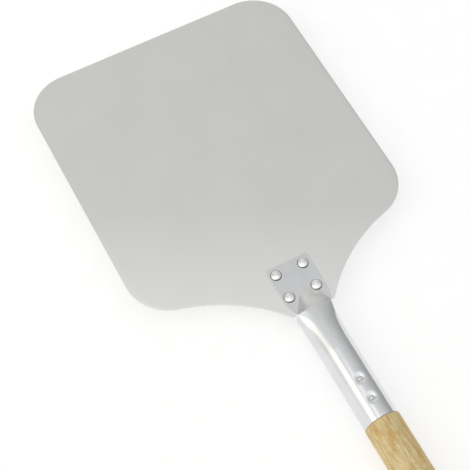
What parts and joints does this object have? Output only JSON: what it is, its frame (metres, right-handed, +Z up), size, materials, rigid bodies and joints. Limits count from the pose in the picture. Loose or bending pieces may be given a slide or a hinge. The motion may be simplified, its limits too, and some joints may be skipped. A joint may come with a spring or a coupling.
{
  "type": "pizza peel",
  "caption": "Pizza peel: flat sheet blade with rounded corners, riveted to a tube socket that holds a long round wooden handle.",
  "frame": {"origin": "middle of the blade's square working face, on the face itself", "axes": "+X out over the blade's front edge, +Y to the left as the holder sees it, +Z up out of the working face; the handle runs along -X"},
  "size_m": [0.914, 0.305, 0.0374],
  "materials": {
    "blade_sheet": "satin mill finish",
    "socket_sheet": "bright drawn",
    "handle_wood": "smooth sanded, bare",
    "rivets": "bright, set by hammer",
    "pins": "dull steel"
  },
  "bodies": {
    "root": {"blade": "blade_sheet", "socket": "socket_sheet", "handle": "handle_wood", "rivet_front_left": "rivets", "rivet_front_right": "rivets", "rivet_rear_left": "rivets", "rivet_rear_right": "rivets", "pin_front": "pins", "pin_rear": "pins"}
  },
  "joints": []
}
